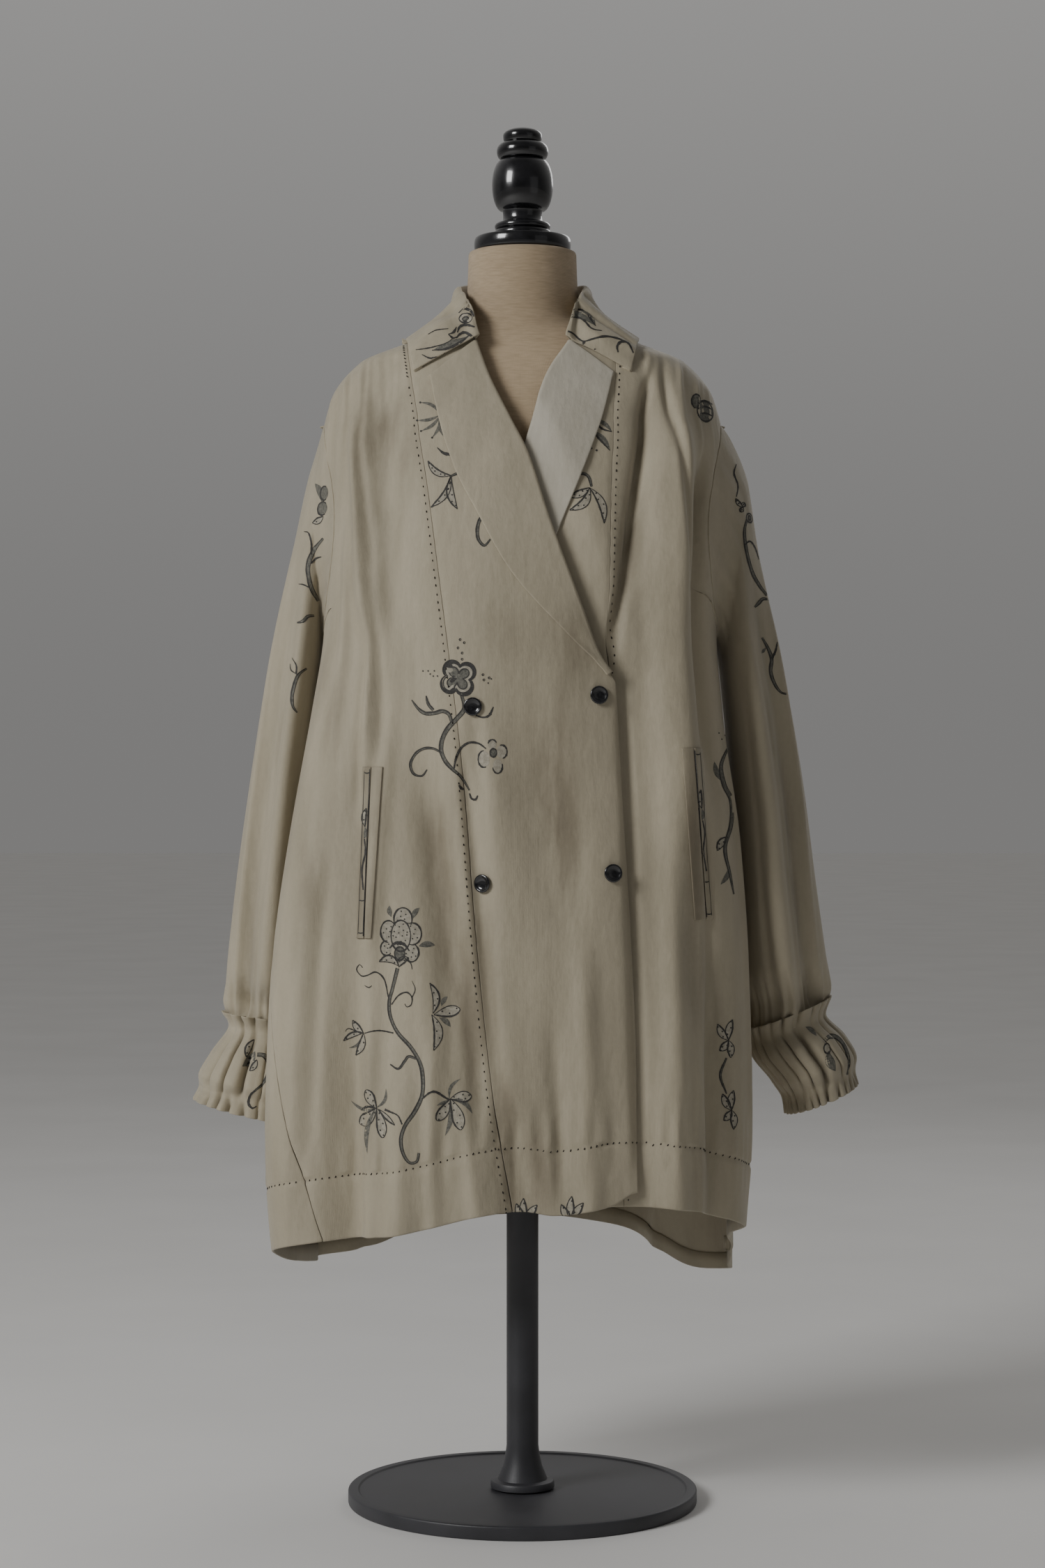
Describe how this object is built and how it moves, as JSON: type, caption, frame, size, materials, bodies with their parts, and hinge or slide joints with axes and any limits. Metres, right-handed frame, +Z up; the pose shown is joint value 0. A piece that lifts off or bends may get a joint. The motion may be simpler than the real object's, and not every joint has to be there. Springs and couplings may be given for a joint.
{
  "type": "silk jacket on a limbless dress form",
  "caption": "Oversized double-breasted silk jacket with long lapels, gathered shoulders and ruffled cuffs, worn on a limbless dress form on a round stand.",
  "frame": {"origin": "centre of the underside of the stand's base", "axes": "+Z up the pole to the finial; the front of the jacket faces -Y; the wearer's left is at +X"},
  "size_m": [0.6762, 0.3609, 1.3789],
  "materials": {
    "silk": "matt ivory silk",
    "cool_silk": "matt bluish white silk",
    "linen": "cream linen",
    "black_lacquer": "gloss black",
    "dark_steel": "satin dark grey"
  },
  "bodies": {
    "root": {"front_side_right": "silk", "front_side_left": "silk", "front_centre_right": "silk", "front_centre_left": "silk", "back": "silk", "lapel_right": "silk", "lapel_left": "cool_silk", "collar": "silk", "sleeve_right": "silk", "sleeve_left": "silk", "cuff_right": "silk", "cuff_left": "silk", "pocket_welt_right": "silk", "pocket_welt_left": "silk", "pocket_facing_right": "silk", "pocket_facing_left": "silk", "button_upper_right": "black_lacquer", "button_upper_left": "black_lacquer", "button_lower_right": "black_lacquer", "button_lower_left": "black_lacquer", "form_torso": "linen", "form_finial": "black_lacquer", "stand_pole": "dark_steel", "stand_base": "dark_steel"}
  },
  "joints": []
}
